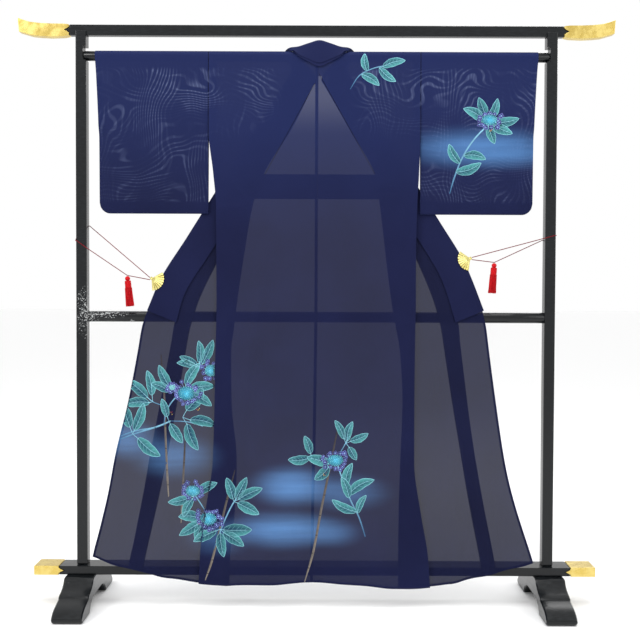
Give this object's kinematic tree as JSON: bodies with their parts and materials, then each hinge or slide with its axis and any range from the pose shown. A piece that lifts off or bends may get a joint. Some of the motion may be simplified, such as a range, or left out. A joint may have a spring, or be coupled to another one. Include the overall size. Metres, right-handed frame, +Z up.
{
  "type": "silk kimono on a kimono stand",
  "caption": "Sheer silk kimono hung by its sleeves on a lacquered kimono stand, its back to the viewer and its fronts drawn out to both sides by clips on cords.",
  "frame": {"origin": "on the floor below the middle of the stand", "axes": "+Z up, +X along the beam, the garment's back and its hem in front of the rails at -Y"},
  "size_m": [1.7758, 0.397, 1.752],
  "materials": {
    "silk": "sheer navy silk gauze",
    "lacquer": "black lacquer",
    "gilt": "gold leaf and gold lacquer",
    "clip_metal": "gold plated",
    "red_silk": "glossy silk thread"
  },
  "bodies": {
    "root": {"body_left": "silk", "body_right": "silk", "tuck_left": "silk", "tuck_right": "silk", "okumi_left": "silk", "okumi_right": "silk", "sleeve_left": "silk", "sleeve_right": "silk", "collar": "silk", "overcollar": "silk", "top_beam": "lacquer", "beam_tip_left": "gilt", "beam_tip_right": "gilt", "rod": "lacquer", "middle_rail": "lacquer", "bottom_rail": "lacquer", "rail_end_left": "gilt", "rail_end_right": "gilt", "post_left": "lacquer", "post_right": "lacquer", "foot_left": "lacquer", "foot_right": "lacquer", "clip_left": "clip_metal", "clip_right": "clip_metal", "cord_left": "red_silk", "cord_right": "red_silk", "tassel_left": "red_silk", "tassel_right": "red_silk"}
  },
  "joints": []
}
